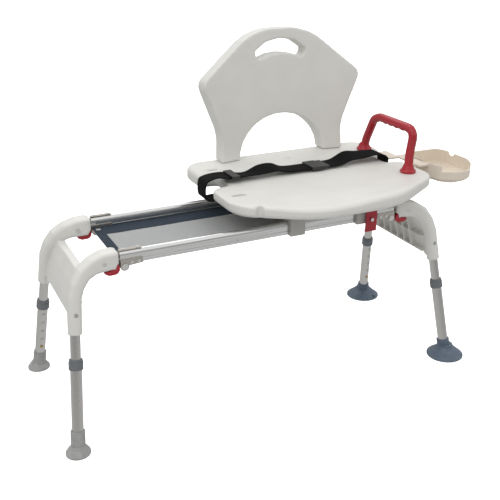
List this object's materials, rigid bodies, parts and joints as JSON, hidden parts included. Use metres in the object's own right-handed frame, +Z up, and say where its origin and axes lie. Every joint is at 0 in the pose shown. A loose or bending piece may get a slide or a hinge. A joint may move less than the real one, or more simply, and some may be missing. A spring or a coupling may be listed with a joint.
{
  "type": "bath transfer bench",
  "caption": "Folding bath transfer bench: a contoured seat with a backrest, grab handle, belt and soap holder slides along two rails on height-adjustable splayed legs.",
  "frame": {"origin": "middle of the bounding box at floor level", "axes": "+X along the rails towards the tub end with the suction cups, +Y towards the backrest, +Z up"},
  "size_m": [1.1348, 0.491, 0.8156],
  "materials": {
    "rail_aluminium": "satin anodised",
    "tube_aluminium": "satin anodised",
    "hinge_steel": "zinc plated, slightly brown",
    "bright_steel": "zinc plated",
    "button_brass": "bare spring brass",
    "mesh_fabric": "open coated mesh",
    "binding_fabric": "woven border tape",
    "white_plastic": "fine moulded grain, low gloss",
    "red_plastic": "smooth moulded",
    "collar_plastic": "moulded",
    "grey_rubber": "matt",
    "slate_rubber": "matt",
    "slider_plastic": "moulded",
    "beige_plastic": "smooth, a little translucent",
    "webbing": "woven webbing",
    "buckle_plastic": "moulded"
  },
  "bodies": {
    "base": {"rail_front": "rail_aluminium", "rail_back": "rail_aluminium", "rail_plugs": "slider_plastic", "hinge_bracket_fl": "hinge_steel", "hinge_bracket_bl": "hinge_steel", "hinge_bracket_fr": "hinge_steel", "hinge_bracket_br": "hinge_steel", "bracket_rivets": "bright_steel", "pivot_rod_left": "bright_steel", "pivot_rod_right": "bright_steel", "mesh_panel": "mesh_fabric", "panel_binding": "binding_fabric", "panel_snaps": "bright_steel"},
    "left_frame": {"end_frame_left": "white_plastic", "hinge_tongues_left": "hinge_steel", "upper_leg_fl": "tube_aluminium", "upper_leg_bl": "tube_aluminium", "frame_fasteners_left": "bright_steel", "snap_button_fl": "button_brass", "snap_button_bl": "button_brass"},
    "right_frame": {"end_frame_right": "white_plastic", "hinge_tongues_right": "hinge_steel", "upper_leg_fr": "tube_aluminium", "upper_leg_br": "tube_aluminium", "frame_fasteners_right": "bright_steel", "snap_button_fr": "button_brass", "snap_button_br": "button_brass"},
    "leg_fl": {"lower_leg_fl": "tube_aluminium", "collar_fl": "collar_plastic", "rubber_tip_fl": "grey_rubber"},
    "latch_fl": {"fold_latch_fl": "red_plastic"},
    "leg_bl": {"lower_leg_bl": "tube_aluminium", "collar_bl": "collar_plastic", "rubber_tip_bl": "grey_rubber"},
    "latch_bl": {"fold_latch_bl": "red_plastic"},
    "leg_fr": {"lower_leg_fr": "tube_aluminium", "collar_fr": "collar_plastic", "suction_cup_fr": "slate_rubber"},
    "latch_fr": {"fold_latch_fr": "red_plastic"},
    "leg_br": {"lower_leg_br": "tube_aluminium", "collar_br": "collar_plastic", "suction_cup_br": "slate_rubber"},
    "latch_br": {"fold_latch_br": "red_plastic"},
    "carriage": {"seat_shell": "white_plastic", "slider_front_left": "slider_plastic", "slider_front_right": "slider_plastic", "sliders_back": "slider_plastic", "cross_bars": "tube_aluminium", "seat_fasteners": "bright_steel", "lever_spring": "bright_steel", "grab_handle": "red_plastic", "soap_holder": "beige_plastic", "belt_left": "webbing", "belt_right": "webbing", "belt_hardware": "buckle_plastic"},
    "lock_lever": {"seat_lock_lever": "red_plastic"},
    "lock_pin": {"seat_lock_pin": "bright_steel"},
    "backrest": {"backrest_shell": "white_plastic", "backrest_pegs": "bright_steel"}
  },
  "joints": [
    {"name": "left_fold", "type": "hinge", "parent": "base", "child": "left_frame", "pos_m": [-0.3876, 0, 0.3855], "axis": [0, -1, 0], "range_deg": [0, 90]},
    {"name": "right_fold", "type": "hinge", "parent": "base", "child": "right_frame", "pos_m": [0.2984, 0, 0.3855], "axis": [0, 1, 0], "range_deg": [0, 68]},
    {"name": "leg_height_fl", "type": "slide", "parent": "left_frame", "child": "leg_fl", "axis": [-0.1025, -0.191, -0.9762], "range_m": [0, 0.1016], "deforming": ["snap_button_fl"]},
    {"name": "leg_height_bl", "type": "slide", "parent": "left_frame", "child": "leg_bl", "axis": [-0.1025, 0.191, -0.9762], "range_m": [0, 0.1016], "deforming": ["snap_button_bl"]},
    {"name": "leg_height_fr", "type": "slide", "parent": "right_frame", "child": "leg_fr", "axis": [0.1025, -0.191, -0.9762], "range_m": [0, 0.1016], "deforming": ["snap_button_fr"]},
    {"name": "leg_height_br", "type": "slide", "parent": "right_frame", "child": "leg_br", "axis": [0.1025, 0.191, -0.9762], "range_m": [0, 0.1016], "deforming": ["snap_button_br"]},
    {"name": "latch_tilt_fl", "type": "hinge", "parent": "left_frame", "child": "latch_fl", "pos_m": [-0.4106, -0.1125, 0.3865], "axis": [0, -1, 0], "range_deg": [0, 15], "stiffness_Nm_per_rad": 0.4, "springref_deg": -5.73},
    {"name": "latch_tilt_bl", "type": "hinge", "parent": "left_frame", "child": "latch_bl", "pos_m": [-0.4106, 0.1125, 0.3865], "axis": [0, -1, 0], "range_deg": [0, 15], "stiffness_Nm_per_rad": 0.4, "springref_deg": -5.73},
    {"name": "latch_tilt_fr", "type": "hinge", "parent": "right_frame", "child": "latch_fr", "pos_m": [0.3214, -0.1125, 0.3865], "axis": [0, 1, 0], "range_deg": [0, 15], "stiffness_Nm_per_rad": 0.4, "springref_deg": -5.73},
    {"name": "latch_tilt_br", "type": "hinge", "parent": "right_frame", "child": "latch_br", "pos_m": [0.3214, 0.1125, 0.3865], "axis": [0, 1, 0], "range_deg": [0, 15], "stiffness_Nm_per_rad": 0.4, "springref_deg": -5.73},
    {"name": "seat_slide", "type": "slide", "parent": "base", "child": "carriage", "axis": [-1, 0, 0], "range_m": [0, 0.352]},
    {"name": "lock_lever_tilt", "type": "hinge", "parent": "carriage", "child": "lock_lever", "pos_m": [0.2294, -0.136, 0.43], "axis": [-1, 0, 0], "range_deg": [-7, 8], "stiffness_Nm_per_rad": 0.6},
    {"name": "lock_pin_pull", "type": "slide", "parent": "carriage", "child": "lock_pin", "axis": [0, -1, 0], "range_m": [-0.0039, 0.0045]},
    {"name": "backrest_lift", "type": "slide", "parent": "carriage", "child": "backrest", "axis": [0, 0, 1], "range_m": [0, 0.08]}
  ],
  "couplings": [
    {"joint": "lock_pin_pull", "follows": "lock_lever_tilt", "m_per_rad": 0.0318}
  ]
}
